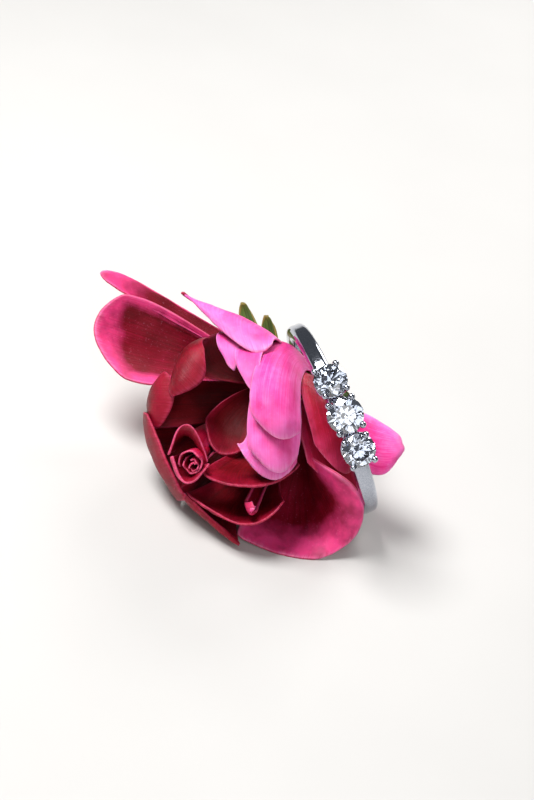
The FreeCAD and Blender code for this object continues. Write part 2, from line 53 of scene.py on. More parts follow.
def turn(degrees, axis):
    return Matrix.Rotation(math.radians(degrees), 4, axis)


BLOOM_TURN = turn(53.0, "X") @ turn(14.5, "Z")
RING_CENTRE = Vector((6.45, -1.87, 0.0))
band_low, band_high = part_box("ring_band")
ring_middle = (Vector(band_low) + Vector(band_high)) / 2
BLOOM_PLACE = (Matrix.Translation(ring_middle) @ BLOOM_TURN @ Matrix.Scale(MM, 4)
               @ Matrix.Translation(-RING_CENTRE))

RECEPTACLE = Vector((4.0, 0.5, -3.5))
AXIS = Vector((-0.63, -0.2, 0.75)).normalized()      # from the stem to the open mouth
RIGHT = (Vector((1, 0, 0)) - AXIS * AXIS.x).normalized()
UPPER = AXIS.cross(RIGHT)
SEAT_RADIUS = 2.6      # the petals' feet stand on this circle about AXIS
SEAT_TAPER = 0.10      # how much the circle narrows for each millimetre above the middle


# ---------------------------------------------------------------- camera

EYE_DISTANCE = 230.0
FIELD_HEIGHT = 80.0
eye = bpy.data.cameras.new("camera")
eye.lens = eye.sensor_width * EYE_DISTANCE / FIELD_HEIGHT      # the sensor's width is its long side
eye.clip_start = 0.01
eye.clip_end = 10.0
camera = bpy.data.objects.new("camera", eye)
bpy.context.scene.collection.objects.link(camera)
camera.matrix_world = Matrix.Translation(BLOOM_PLACE @ Vector((0, 0, EYE_DISTANCE))) @ BLOOM_TURN
bpy.context.scene.camera = camera


# ---------------------------------------------------------------- finishes

def colour(code):
    """A linear colour from its sRGB hex code."""
    channels = [int(code[at:at + 2], 16) / 255 for at in (1, 3, 5)]
    linear = [c / 12.92 if c <= 0.04045 else ((c + 0.055) / 1.055) ** 2.4 for c in channels]
    return (*linear, 1.0)


def add(tree, kind, inputs=None, **settings):
    """Adds a shader node with its settings; an input is a value or another node's socket."""
    made = tree.nodes.new("ShaderNode" + kind)
    for name, value in settings.items():
        setattr(made, name, value)
    for name, value in (inputs or {}).items():
        if isinstance(value, bpy.types.NodeSocket):
            tree.links.new(value, made.inputs[name])
        else:
            made.inputs[name].default_value = value
    return made


def new_finish(name):
    finish = bpy.data.materials.new(name)
    finish.use_nodes = True
    finish.node_tree.nodes.clear()
    return finish, finish.node_tree


def close_finish(tree, surface):
    add(tree, "OutputMaterial", {"Surface": surface.outputs[0]})


def petal_finish(name, deep, body, bright, rim_light, rim, rim_light_strength, gloss):
    """Rose petal: thin moist tissue, so light soaks in and glows red, with a velvety soft gloss,
    fine veins that fan out from the foot, a painted highlight towards its rims and end, painted
    glints as pale flecks, and a pale worn edge."""
    finish, tree = new_finish(name)
    place = add(tree, "TexCoord")
    strand = add(tree, "Mapping", {"Vector": place.outputs["UV"], "Scale": (46.0, 2.6, 1.0)})
    veins = add(tree, "TexNoise", {"Vector": strand.outputs[0], "Scale": 1.0, "Detail": 3.0,
                                   "Roughness": 0.6, "Distortion": 0.5})
    blotch = add(tree, "TexNoise", {"Vector": place.outputs["Object"], "Scale": 1 / (2.6 * MM),
                                    "Detail": 3.0, "Roughness": 0.55})
    grain = add(tree, "TexNoise", {"Vector": place.outputs["Object"], "Scale": 1 / (0.22 * MM),
                                   "Detail": 2.0, "Roughness": 0.6})
    mottle = add(tree, "Math", {0: veins.outputs[0], 1: blotch.outputs[0]}, operation="ADD")
    mottle = add(tree, "MapRange", {"Value": mottle.outputs[0], "From Min": 0.6, "From Max": 1.45})
    base = add(tree, "ValToRGB", {"Fac": mottle.outputs[0]})
    base.color_ramp.elements[0].color = colour(deep)
    base.color_ramp.elements[1].color = colour(bright)
    base.color_ramp.elements.new(0.5).color = colour(body)
    # Painted highlight: the second geometry layer lightens the skin towards the rims and the end,
    # standing in for light on the curled rims, up to the strength given.
    lit_rims = add(tree, "Attribute", attribute_name="rim_light", attribute_type="GEOMETRY")
    uneven = add(tree, "Math", {0: lit_rims.outputs["Fac"], 1: blotch.outputs[0]}, operation="MULTIPLY")
    spread = add(tree, "MapRange", {"Value": uneven.outputs[0], "From Min": 0.14, "From Max": 0.5,
                                    "To Max": rim_light_strength})
    rim_lit = add(tree, "Mix", {"Factor": spread.outputs[0], 6: base.outputs[0], 7: colour(rim_light)},
                  data_type="RGBA")
    rims = add(tree, "Attribute", attribute_name="rim", attribute_type="GEOMETRY")
    frayed = add(tree, "Math", {0: rims.outputs["Fac"], 1: veins.outputs[0]}, operation="MULTIPLY")
    frayed = add(tree, "MapRange", {"Value": frayed.outputs[0], "From Min": 0.2, "From Max": 0.9,
                                    "To Max": 0.75})
    paled = add(tree, "Mix", {"Factor": frayed.outputs[0], 6: rim_lit.outputs[2], 7: colour(rim)},
                data_type="RGBA")
    # Painted glints: scattered small flecks of the pale rim colour stand in for glints of light.
    glint = add(tree, "MapRange", {"Value": grain.outputs[0], "From Min": 0.62, "From Max": 0.8,
                                   "To Max": 0.16})
    with_painted_glints = add(tree, "Mix", {"Factor": glint.outputs[0], 6: paled.outputs[2], 7: colour(rim)},
                  data_type="RGBA")
    height = add(tree, "Math", {0: veins.outputs[0], 1: 2.0, 2: grain.outputs[0]},
                 operation="MULTIPLY_ADD")
    relief = add(tree, "Bump", {"Height": height.outputs[0], "Strength": 0.5, "Distance": 0.05 * MM})
    sheen = add(tree, "MapRange", {"Value": blotch.outputs[0], "From Min": 0.3, "From Max": 0.7,
                                   "To Min": gloss - 0.08, "To Max": gloss + 0.08})
    skin = add(tree, "BsdfPrincipled", {
        "Base Color": with_painted_glints.outputs[2], "Roughness": sheen.outputs[0], "IOR": 1.42,
        "Normal": relief.outputs[0], "Subsurface Weight": 0.3,
        "Subsurface Radius": (1.0, 0.12, 0.2), "Subsurface Scale": 0.5 * MM,
        "Specular IOR Level": 0.35})
    close_finish(tree, skin)
    return finish


def plant_finish(name, deep, body, tip):
    """Green plant tissue: matt, with long ribs, and dried or dusted where the rim layer says so."""
    finish, tree = new_finish(name)
    place = add(tree, "TexCoord")
    strand = add(tree, "Mapping", {"Vector": place.outputs["UV"], "Scale": (16.0, 1.6, 1.0)})
    ribs = add(tree, "TexNoise", {"Vector": strand.outputs[0], "Scale": 1.0, "Detail": 2.0})
    base = add(tree, "ValToRGB", {"Fac": ribs.outputs[0]})
    base.color_ramp.elements[0].position = 0.35
    base.color_ramp.elements[0].color = colour(deep)
    base.color_ramp.elements[1].position = 0.65
    base.color_ramp.elements[1].color = colour(body)
    rims = add(tree, "Attribute", attribute_name="rim", attribute_type="GEOMETRY")
    dried = add(tree, "Mix", {"Factor": rims.outputs["Fac"], 6: base.outputs[0], 7: colour(tip)},
                data_type="RGBA")
    relief = add(tree, "Bump", {"Height": ribs.outputs[0], "Strength": 0.5, "Distance": 0.08 * MM})
    skin = add(tree, "BsdfPrincipled", {
        "Base Color": dried.outputs[2], "Roughness": 0.6, "IOR": 1.42, "Normal": relief.outputs[0],
        "Subsurface Weight": 0.2, "Subsurface Radius": (0.4, 0.6, 0.15), "Subsurface Scale": 0.4 * MM})
    close_finish(tree, skin)
    return finish


def polished_white_gold():
    """Rhodium-plated white gold, lapped and buffed: a mirror with hairline polishing marks."""
    finish, tree = new_finish("polished_white_gold")
    place = add(tree, "TexCoord")
    marks = add(tree, "TexNoise", {"Vector": place.outputs["Object"], "Scale": 1 / (0.12 * MM),
                                   "Detail": 3.0, "Roughness": 0.6})
    tone = add(tree, "ValToRGB", {"Fac": marks.outputs[0]})
    tone.color_ramp.elements[0].position = 0.3
    tone.color_ramp.elements[0].color = colour("#9DA2AE")
    tone.color_ramp.elements[1].position = 0.7
    tone.color_ramp.elements[1].color = colour("#C4C8D2")
    buffed = add(tree, "MapRange", {"Value": marks.outputs[0], "To Min": 0.05, "To Max": 0.14})
    metal = add(tree, "BsdfPrincipled", {"Base Color": tone.outputs[0], "Metallic": 1.0,
                                         "Roughness": buffed.outputs[0]})
    close_finish(tree, metal)
    return finish


def cut_diamond():
    """Colourless cut diamond: clear, with facets that throw light back as white and blue sparks."""
    finish, tree = new_finish("cut_diamond")
    place = add(tree, "TexCoord")
    cloud = add(tree, "TexNoise", {"Vector": place.outputs["Object"], "Scale": 1 / (0.8 * MM)})
    tone = add(tree, "ValToRGB", {"Fac": cloud.outputs[0]})
    tone.color_ramp.elements[0].color = colour("#C4D2EE")
    tone.color_ramp.elements[1].color = colour("#F2F6FF")
    stone = add(tree, "BsdfPrincipled", {"Base Color": tone.outputs[0], "Roughness": 0.0,
                                         "IOR": 2.42, "Transmission Weight": 1.0})
    close_finish(tree, stone)
    return finish


# Lit and shaded copies of one petal colour. Petals that lean over the mouth wear a clear magenta
# pink painted highlight outside; those lower down keep the darker rose middle tone outside, and every
# inner skin is a deep crimson painted shade, lightened by a painted highlight towards its rims.
# The painted highlight copy, for petals turned to the light.
painted_lit_skin = petal_finish("rose_petal_painted_highlight_skin", "#DE2272", "#F2449C", "#FF7CCA", "#FF82CE",
                           "#FFC8E6", 0.6, 0.45)
rose_skin = petal_finish("rose_petal_rose_outer_skin", "#86001E", "#AC0830", "#D01C4C", "#DA3870",
                         "#EE7AA0", 0.6, 0.48)
# The painted shade copy, a deep crimson.
painted_shade_skin = petal_finish("rose_petal_painted_shade_skin", "#480004", "#68000C", "#8A0218", "#AC0E34",
                            "#DC4C78", 0.55, 0.5)
# Painted shade inside, with a strong painted highlight towards the rims.
shade_and_rim_light_skin = petal_finish("rose_petal_painted_shade_lit_rims_skin", "#56000A", "#78001A", "#9A0C34",
                             "#F8468E", "#FFB0D6", 0.95, 0.5)
sepal_skin = plant_finish("rose_sepal_leaf", "#2C3A12", "#56702A", "#8C7A3A")
hip_skin = plant_finish("rose_receptacle_green", "#3A4A18", "#66802F", "#8A4A3A")
stem_skin = plant_finish("rose_stem_green", "#33461A", "#5A7430", "#B09A6A")
stamen_skin = plant_finish("rose_stamen_pollen", "#C88A50", "#E2B070", "#E8B428")
white_gold = polished_white_gold()
diamond = cut_diamond()


# ---------------------------------------------------------------- petals and sepals

PETAL_ROWS = 64
PETAL_COLUMNS = 56
PETAL_THICKNESS = 0.2
SEPAL_THICKNESS = 0.3
SCROLL_THICKNESS = 0.16
CLAW_WIDTH = 1.4     # a petal's foot, where it joins the receptacle
LOWEST = 0.12        # a petal that meets the ground lies on it, so its middle surface stays over this
CORNER_ROUND = 0.97  # how near to a full ellipse an end's corners are
CORNER_DEPTH = 0.83
SIDE_ROLL_START = 0.6
END_ROLL_START = 0.75
FOOT_FADE = 1.5      # rolls, the painted rim highlight and pale rims fade out over the lower part of a blade
# where the painted highlight on the sides starts, as a share of the half width
SIDE_LIGHT_START = 0.55
RIPPLES = 3.0        # half waves along a rim
RIPPLE_SLANT = 0.4
CRUMPLE = 0.10       # height of the folds over a blade's face, in millimetres
FOLD_SIZE = 2.0      # and their size
PUCKERS = 1.3        # smaller folds to the millimetre
PUCKER_SHARE = 0.4


def ease(value):
    """Eases from 0 to 1, flat at both ends."""
    value = min(max(value, 0.0), 1.0)
    return value * value * (3 - 2 * value)


def through(points, t):
    """A smooth line through four points, evenly spaced in t from 0 to 1."""
    a, b, c, d = points
    return (a * ((1 - 3 * t) * (2 - 3 * t) * (1 - t) / 2) + b * (9 * t * (2 - 3 * t) * (1 - t) / 2)
            + c * (9 * t * (3 * t - 1) * (1 - t) / 2) + d * (t * (3 * t - 1) * (3 * t - 2) / 2))


class Blade:
    """A petal or sepal, drawn by three lines from its foot to its end: one rim, the middle and the
    other rim. Each line is three points after the foot. seat is an angle about AXIS and a lift above
    the receptacle's middle. rounded draws back the end's corners, roll turns the first rim, the last
    rim and the end outwards in millimetres, and the painted highlight of the end starts at the share
    of its length that the last argument gives."""

    def __init__(self, seat, first, middle, last, rounded=0.10, roll=(0.0, 0.0, 0.0), wave=0.10,
                 phase=0.0, flush=0.62):
        angle, lift = seat
        around = math.radians(angle)
        out = RIGHT * math.cos(around) + UPPER * math.sin(around)
        foot = RECEPTACLE + out * (SEAT_RADIUS * (1 - SEAT_TAPER * max(lift, 0))) + AXIS * lift
        half_claw = AXIS.cross(out) * (CLAW_WIDTH / 2)
        self.lines = []
        for start, line in ((foot - half_claw, first), (foot, middle), (foot + half_claw, last)):
            self.lines.append([start] + [Vector(point) for point in line])
        self.rounded = rounded
        self.roll = roll
        self.wave = wave
        self.phase = phase
        self.flush = flush
        self.rows = {}

    def spot(self, along, over):
        """The blade's middle surface before its rims are rolled and crumpled."""
        corner = (1 - math.sqrt(1 - CORNER_ROUND * over * over)) / CORNER_DEPTH
        level = round(along * (1 - self.rounded * along ** 2 * corner), 3)
        if level not in self.rows:
            self.rows[level] = [through(line, level) for line in self.lines]
        first, middle, last = self.rows[level]
        return (first * (over * (over - 1) / 2) + middle * (1 - over * over)
                + last * (over * (over + 1) / 2))

    def inward(self, along, over):
        """The way that faces the bloom's mouth."""
        step = 0.03
        low, high = max(along - step, 0.0), min(along + step, 1.0)
        left, right = max(over - step, -1.0), min(over + step, 1.0)
        lengthwise = self.spot(high, over) - self.spot(low, over)
        sideways = self.spot(along, right) - self.spot(along, left)
        return lengthwise.cross(sideways).normalized()

    def point(self, along, over):
        """The finished surface: the blade with its rims rolled and rippled and its face crumpled."""
        side_roll = self.roll[0] if over < 0 else self.roll[1]
        side = max(0.0, (abs(over) - SIDE_ROLL_START) / (1 - SIDE_ROLL_START))
        end = max(0.0, (along - END_ROLL_START) / (1 - END_ROLL_START))
        drop = side_roll * side ** 2 * min(1.0, along * FOOT_FADE) + self.roll[2] * end ** 2
        ripple = self.wave * math.sin(RIPPLES * math.pi * (along + RIPPLE_SLANT * over) + self.phase)
        spot = self.spot(along, over)
        folds = (noise.noise(spot / FOLD_SIZE + Vector((self.phase, 0, 0)))
                 + PUCKER_SHARE * noise.noise(spot * PUCKERS))
        rise = ripple * max(over * over * along, along ** 6) + CRUMPLE * folds * along - drop
        return spot + self.inward(along, over) * rise


def grow(name, blade, skins, thickness, rows=PETAL_ROWS, columns=PETAL_COLUMNS):
    """Makes one petal or sepal. Its rim layer says where its edge pales, and a second layer where a
    painted highlight lightens its rims and end."""
    sheet = bmesh.new()
    sheet.loops.layers.uv.new("veins")
    rim = sheet.verts.layers.float.new("rim")
    rim_light = sheet.verts.layers.float.new("rim_light")
    bmesh.ops.create_grid(sheet, x_segments=columns, y_segments=rows, size=1.0, calc_uvs=True)
    for vertex in sheet.verts:
        over = vertex.co.x
        along = (vertex.co.y + 1) / 2
        vertex[rim] = max(abs(over) ** 16 * min(1.0, along * FOOT_FADE), along ** 22)
        # Painted highlight towards the sides and the end of the blade.
        side_light = ease((abs(over) - SIDE_LIGHT_START) / (1 - SIDE_LIGHT_START))
        vertex[rim_light] = max(side_light * ease(along * 1.6),
                            ease((along - blade.flush) / (1 - blade.flush)))
        vertex.co = BLOOM_PLACE @ blade.point(along, over)
        vertex.co.z = max(vertex.co.z, LOWEST * MM)
    piece = finish_sheet(name, sheet, skins, thickness)
    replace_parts(piece, name)
    return piece


def finish_sheet(name, sheet, skins, thickness=None):
    """Turns a mesh into a piece on the bloom. A thickness gives it a wall, outer skin first."""
    mesh = bpy.data.meshes.new(name)
    sheet.to_mesh(mesh)
    sheet.free()
    for skin in skins:
        mesh.materials.append(skin)
    mesh.shade_smooth()
    piece = bpy.data.objects.new(name, mesh)
    bpy.context.scene.collection.objects.link(piece)
    if thickness:
        wall = piece.modifiers.new("tissue", "SOLIDIFY")
        wall.thickness = thickness * MM
        wall.offset = 0.0
        wall.use_even_offset = False
        wall.material_offset = len(skins) - 1
    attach(piece, "bloom")
    return piece


PETALS = {
    "hood_petal_outer": Blade((45, 0.1),
                              ((3.7, 2.8, 2.4), (3.2, 0.2, 7.0), (3.1, -3.4, 8.3)),
                              ((2.3, 4.6, 3.2), (1.0, 1.4, 9.2), (1.0, -3.6, 10.3)),
                              ((0.6, 5.6, 3.0), (-1.4, 1.9, 8.0), (-1.2, -1.6, 9.6)), rounded=0.04,
                              wave=0.06),
    "hood_petal_middle": Blade((12, 1.1),
                               ((3.6, 1.9, 1.5), (3.2, -1.0, 5.8), (3.0, -5.8, 6.9)),
                               ((2.1, 3.7, 2.4), (0.9, -0.4, 8.0), (0.9, -6.9, 8.9)),
                               ((0.5, 4.6, 2.2), (-1.6, -0.2, 7.0), (-1.7, -4.9, 8.3)), rounded=0.04,
                               phase=1.2),
    "hood_petal_inner": Blade((65, 1.3),
                              ((3.3, 1.5, 1.2), (3.0, -2.4, 4.6), (2.9, -6.4, 5.6)),
                              ((1.5, 3.0, 1.6), (0.6, -2.0, 6.6), (0.0, -7.5, 7.5)),
                              ((-0.1, 3.4, 2.0), (-1.5, -1.7, 5.6), (-3.1, -4.1, 7.1)), rounded=0.03,
                              phase=2.3),
    "crown_petal": Blade((85, -0.3),
                         ((3.3, 3.8, -1.5), (1.4, 5.7, 2.6), (0.5, 5.0, 5.8)),
                         ((1.8, 4.8, -1.8), (-2.5, 8.2, 1.4), (-2.4, 5.2, 5.2)),
                         ((-0.5, 5.5, -2.0), (-6.8, 9.4, 0.5), (-7.8, 10.4, 1.0)), rounded=0.05,
                         wave=0.08),
    "crown_curl_left": Blade((126, 1.0),
                             ((-0.5, 5.2, -1.0), (-2.3, 6.0, 2.6), (-3.0, 3.4, 4.8)),
                             ((-1.2, 5.5, -1.0), (-3.4, 6.4, 2.6), (-3.3, 2.9, 4.9)),
                             ((-1.9, 5.8, -1.0), (-4.7, 6.6, 2.2), (-4.0, 4.0, 4.4)), rounded=0.03),
    "crown_curl_right": Blade((102, 1.5),
                              ((1.5, 4.2, 0.0), (-0.2, 4.9, 5.0), (-0.5, 0.5, 7.0)),
                              ((0.3, 4.8, 0.0), (-1.5, 5.2, 4.3), (-1.3, 0.7, 7.1)),
                              ((-0.8, 5.2, 0.2), (-2.9, 5.2, 3.8), (-2.3, 1.9, 6.4))),
    "left_upper_petal": Blade((145, 0.3),
                              ((-3.3, 5.4, -3.0), (-6.1, 6.1, 2.0), (-5.7, 3.9, 5.0)),
                              ((-4.8, 4.9, -4.0), (-8.3, 4.8, 2.5), (-6.3, 1.9, 5.4)),
                              ((-6.3, 2.8, -4.0), (-9.4, 1.7, 2.4), (-8.8, -0.2, 4.9))),
    "left_side_petal": Blade((178, 0.2),
                             ((-6.8, 1.9, -3.5), (-10.2, 2.2, 1.0), (-9.3, 3.1, 3.8)),
                             ((-7.8, 0.0, -4.0), (-11.7, 0.3, 1.0), (-9.1, 0.5, 4.3)),
                             ((-7.3, -2.5, -3.5), (-11.4, -2.8, 0.9), (-9.4, -2.8, 3.6))),
    "bud_petal_upper": Blade((197, 1.5),
                             ((-4.2, -2.5, -1.0), (-6.1, -5.4, 3.5), (-5.7, -5.9, 6.0)),
                             ((-4.7, -1.8, -1.4), (-7.6, -3.3, 3.0), (-7.6, -2.4, 6.3)),
                             ((-5.5, -2.5, -1.0), (-9.0, -4.9, 3.0), (-9.5, -4.9, 5.6)), rounded=0.03),
    "bud_petal_lower": Blade((240, 1.8),
                             ((-3.9, -3.2, -1.0), (-8.2, -5.1, 3.2), (-9.0, -5.4, 6.0)),
                             ((-3.5, -4.0, -1.4), (-7.4, -6.6, 2.6), (-7.9, -8.0, 6.5)),
                             ((-2.7, -3.8, -1.0), (-5.9, -5.7, 3.2), (-5.4, -6.2, 6.7)), rounded=0.02),
    "heart_petal_right": Blade((45, 2.1),
                               ((1.6, 2.2, -0.5), (-0.6, 3.7, 0.2), (-1.4, 5.4, 1.6)),
                               ((0.2, 1.8, -1.0), (-3.6, 3.4, -0.8), (-4.4, 6.6, 1.2)),
                               ((-1.2, 1.6, -0.8), (-6.1, 2.4, -0.6), (-7.2, 5.4, 1.2))),
    "heart_petal_left": Blade((145, 1.8),
                              ((-2.6, 0.9, -1.2), (-5.0, -0.6, 0.2), (-6.3, -2.3, 2.0)),
                              ((-1.8, 0.0, -1.6), (-3.9, -2.4, 0.0), (-5.2, -4.9, 2.6)),
                              ((-0.8, -0.8, -1.2), (-1.8, -3.2, 0.4), (-2.6, -5.5, 2.8))),
    "left_outer_petal": Blade((203, -0.6),
                              ((-7.3, -1.5, -4.5), (-11.7, -1.3, -0.5), (-11.4, -1.6, 3.6)),
                              ((-6.3, -4.1, -5.0), (-11.1, -5.4, -0.7), (-10.2, -5.0, 4.5)),
                              ((-5.3, -7.1, -4.5), (-8.7, -9.6, 0.0), (-7.4, -9.8, 5.0)), rounded=0.06),
    "lower_left_petal": Blade((247, -0.6),
                              ((-4.6, -6.1, -3.9), (-8.4, -8.6, 0.7), (-8.9, -8.3, 4.2)),
                              ((-3.6, -7.2, -4.0), (-6.0, -11.1, 1.5), (-5.8, -11.2, 4.8)),
                              ((-2.2, -7.8, -3.3), (-3.0, -12.9, 2.6), (-2.8, -13.8, 4.2)),
                              rounded=0.03),
    "dividing_petal": Blade((280, 0.8),
                            ((-0.5, -4.0, -1.0), (-5.1, -6.1, 3.5), (-6.0, -7.7, 7.0)),
                            ((0.8, -4.5, -1.5), (-1.7, -6.7, 3.0), (-1.7, -8.4, 7.8)),
                            ((2.3, -4.0, -1.0), (2.8, -5.7, 3.0), (3.4, -7.2, 7.0)), rounded=0.2),
    "lower_middle_petal": Blade((262, 0.1),
                                ((-1.2, -5.6, -3.0), (-6.2, -8.5, 1.0), (-7.7, -8.6, 5.3)),
                                ((0.3, -6.6, -3.5), (-2.4, -10.4, 1.5), (-2.6, -12.0, 7.0)),
                                ((1.8, -6.3, -3.0), (1.3, -9.0, 2.0), (2.0, -9.9, 7.3))),
    "curled_petal": Blade((292, 0.2),
                          ((0.6, -5.0, -1.5), (-1.7, -9.0, 4.0), (-2.2, -9.6, 7.4)),
                          ((1.2, -5.4, -1.8), (-1.2, -9.8, 3.8), (-1.9, -10.9, 8.2)),
                          ((1.9, -5.2, -1.5), (-0.6, -9.8, 4.0), (-0.9, -11.0, 7.8)),
                          roll=(0, 0, -0.9), rounded=0.08),
    "lip_petal": Blade((300, -0.6),
                       ((0.8, -7.0, -2.0), (-1.8, -10.7, 1.5), (-2.6, -13.2, 4.0)),
                       ((3.9, -7.1, -3.0), (4.3, -11.9, -0.3), (4.0, -15.4, 3.4)),
                       ((3.9, -5.6, 3.0), (7.3, -8.3, 6.0), (9.8, -13.5, 2.8)), rounded=0.05,
                       roll=(0.2, 0.8, 0.4), flush=0.52),
    "right_back_petal": Blade((0, -0.3),
                              ((7.0, -0.5, 1.5), (8.2, -4.0, 3.0), (8.4, -6.5, 3.0)),
                              ((5.5, 1.0, 3.0), (6.6, -2.9, 5.0), (7.3, -7.1, 4.4)),
                              ((3.4, 2.4, 3.4), (3.7, -0.8, 5.4), (4.7, -4.7, 5.6)), rounded=0.05),
    "right_lower_petal": Blade((325, -0.2),
                               ((7.8, -3.9, 0.5), (8.8, -7.2, 1.0), (9.1, -8.9, 0.6)),
                               ((5.6, -2.4, 1.4), (6.4, -5.9, 2.0), (7.2, -8.7, 1.2)),
                               ((3.2, -0.3, 2.6), (3.3, -3.6, 4.2), (4.0, -6.2, 3.6)), rounded=0.03),
    "threaded_petal": Blade((345, -0.8),
                            ((8.3, -5.5, 0.0), (10.9, -7.4, 3.0), (13.0, -5.3, 3.2)),
                            ((8.5, -3.5, 0.6), (11.4, -4.7, 3.6), (13.4, -4.6, 3.2)),
                            ((8.3, -0.8, 0.0), (11.0, -2.0, 1.8), (13.2, -4.0, 2.6)), rounded=0.03),
    "guard_petal": Blade((174, -0.9),
                         ((-4.3, 5.6, -5.9), (-10.5, 9.4, -4.6), (-15.9, 10.6, -2.4)),
                         ((-4.0, 3.3, -6.4), (-11.4, 5.3, -5.2), (-17.4, 7.3, -1.8)),
                         ((-3.8, 1.6, -5.5), (-10.3, 1.5, -2.8), (-15.6, 2.8, -0.6)), flush=0.74),
    "guard_petal_upper": Blade((128, -1.1),
                               ((-3.3, 6.4, -6.7), (-9.9, 10.2, -5.2), (-15.9, 13.4, -3.2)),
                               ((-3.6, 5.7, -6.6), (-10.5, 9.8, -4.9), (-16.9, 12.8, -2.8)),
                               ((-3.8, 4.9, -6.2), (-11.1, 8.9, -4.7), (-15.6, 11.4, -2.6))),
}
SEPALS = {
    "sepal_rear": Blade((150, -1.9),
                        ((1.4, 2.8, -7.8), (-0.6, 6.8, -9.7), (-2.4, 10.1, -10.0)),
                        ((0.4, 2.4, -8.0), (-1.6, 6.6, -9.9), (-2.5, 10.1, -10.0)),
                        ((-0.6, 2.0, -7.8), (-2.6, 6.3, -9.7), (-2.6, 10.0, -10.0)), rounded=0.0),
    "sepal_upper": Blade((88, -0.9),
                         ((1.9, 4.3, -5.1), (1.0, 6.6, -5.5), (-0.1, 8.6, -5.3)),
                         ((1.3, 4.4, -5.1), (0.3, 6.6, -5.6), (-0.1, 8.6, -5.2)),
                         ((0.4, 4.3, -4.9), (-0.6, 6.6, -5.4), (-0.2, 8.6, -5.2)), rounded=0.0),
    "sepal_right": Blade((0, -1.7),
                         ((7.7, -0.5, -4.6), (8.5, -1.5, -5.6), (9.3, -2.5, -5.9)),
                         ((8.0, 0.2, -4.6), (8.8, -0.9, -5.7), (9.4, -2.4, -5.9)),
                         ((7.9, 1.0, -4.5), (9.0, -0.1, -5.5), (9.5, -2.3, -5.9)), rounded=0.0),
    "sepal_lower": Blade((285, -1.7),
                         ((3.9, -2.8, -6.6), (4.5, -4.6, -7.2), (6.1, -6.8, -6.6)),
                         ((4.8, -2.8, -6.6), (5.4, -4.6, -7.2), (6.2, -6.8, -6.6)),
                         ((5.7, -2.8, -6.1), (6.3, -4.6, -6.7), (6.3, -6.8, -6.6)), rounded=0.0),
    "sepal_left": Blade((215, -1.7),
                        ((0.9, -0.9, -8.0), (-1.0, -2.0, -8.8), (-3.6, -3.7, -8.8)),
                        ((0.5, -1.7, -8.1), (-1.4, -2.8, -8.9), (-3.6, -3.8, -8.8)),
                        ((0.1, -2.6, -7.8), (-1.8, -3.7, -8.6), (-3.6, -3.9, -8.8)), rounded=0.0),
}

# Painted light and shade by petal: which petals wear the painted highlight skin and which the painted
# shade skins, by how the light falls on them.
LIT_OUTSIDE = ("hood_petal_outer", "hood_petal_middle", "hood_petal_inner", "crown_petal",
                  "crown_curl_left", "crown_curl_right", "threaded_petal")
SHADED_OUTSIDE = ("left_side_petal", "left_outer_petal", "lower_left_petal", "left_upper_petal",
                  "lower_middle_petal", "dividing_petal", "heart_petal_left", "heart_petal_right")
SHADED_INSIDE_LIT_RIMS = ("guard_petal", "guard_petal_upper", "lip_petal", "curled_petal")
LIT_INSIDE = ("threaded_petal",)


def petal_skins(name):
    """A petal's outer and inner skin."""
    outer, inner = rose_skin, painted_shade_skin
    if name in LIT_OUTSIDE:
        outer = painted_lit_skin
    elif name in SHADED_OUTSIDE:
        outer = painted_shade_skin
    if name in LIT_INSIDE:
        inner = painted_lit_skin
    elif name in SHADED_INSIDE_LIT_RIMS:
        inner = shade_and_rim_light_skin
    return outer, inner


for name, blade in PETALS.items():
    grow(name, blade, petal_skins(name), PETAL_THICKNESS)
for name, blade in SEPALS.items():
    grow(name, blade, (sepal_skin,), SEPAL_THICKNESS, rows=36, columns=24)


def roll_up(name, foot, mouth, radii, turns, start, skins):
    """A small petal rolled into a scroll about the line from foot to mouth, tight at its foot."""
    sheet = bmesh.new()
    sheet.loops.layers.uv.new("veins")
    rim = sheet.verts.layers.float.new("rim")
    rim_light = sheet.verts.layers.float.new("rim_light")
    bmesh.ops.create_grid(sheet, x_segments=90, y_segments=28, size=1.0, calc_uvs=True)
    foot, mouth = Vector(foot), Vector(mouth)
    axis = (mouth - foot).normalized()
    right = (Vector((1, 0, 0)) - axis * axis.x).normalized()
    up = axis.cross(right)
    inner, outer = radii
    for vertex in sheet.verts:
        round_share = (vertex.co.x + 1) / 2
        along = (vertex.co.y + 1) / 2
        angle = math.radians(start + 360 * turns * round_share)
        flare = 0.35 + 0.65 * ease(along * 1.2) + 0.12 * along ** 6
        radius = (inner + (outer - inner) * round_share) * flare
        dip = 0.5 * (2 * round_share - 1) ** 4 + 0.15 * math.sin(5 * angle)
        middle = foot.lerp(mouth, along) - axis * (dip * along)
        spot = middle + (right * math.cos(angle) + up * math.sin(angle)) * radius
        vertex[rim] = max(along ** 22, (2 * round_share - 1) ** 30 * along)
        # Painted highlight towards the scroll's open end.
        vertex[rim_light] = ease((along - 0.7) / 0.3)
        vertex.co = BLOOM_PLACE @ spot
    return finish_sheet(name, sheet, skins, SCROLL_THICKNESS)


for name, foot, mouth, radii, turns, start in (
        ("bud_scroll_outer", (-6.0, -5.0, 2.4), (-7.4, -6.2, 6.4), (0.7, 1.25), 1.15, 150),
        ("bud_scroll_inner", (-6.0, -5.0, 2.6), (-7.2, -6.5, 6.3), (0.2, 0.55), 1.3, 20)):
    roll_up(name, foot, mouth, radii, turns, start, (rose_skin, painted_shade_skin))


# ---------------------------------------------------------------- receptacle, stem and stamens

RECEPTACLE_FOOT = -2.04      # from the receptacle's middle, along AXIS
RECEPTACLE_TOP = 1.36
RECEPTACLE_RADIUS = 2.3
STEM_END = -4.64
STEM_RADIUS = 1.0
FILAMENTS = 6
FILAMENT_CIRCLE = 0.55
FILAMENT_LENGTH = 2.2
FILAMENT_RADIUS = 0.13
ANTHER_RADIUS = 0.33


